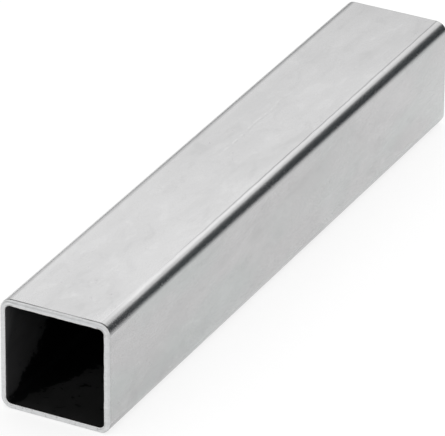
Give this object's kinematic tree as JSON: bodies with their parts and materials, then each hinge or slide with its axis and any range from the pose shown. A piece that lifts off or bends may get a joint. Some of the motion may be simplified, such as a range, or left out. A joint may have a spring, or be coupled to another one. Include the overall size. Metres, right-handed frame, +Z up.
{
  "type": "square metal tube",
  "caption": "Cut length of square steel tube with rounded corners and an open bore, for frames, legs and brackets.",
  "frame": {"origin": "centre of the underside, halfway along the tube, on the surface it lies on", "axes": "+Y along the tube from one cut end to the other, +X across it, +Z up from the underside to the top face"},
  "size_m": [0.04, 0.25, 0.04],
  "materials": {
    "tube_steel": "bare cold-rolled steel, satin grey and faintly clouded, with darker mill scale in the bore"
  },
  "bodies": {
    "root": {"square_tube": "tube_steel"}
  },
  "joints": []
}
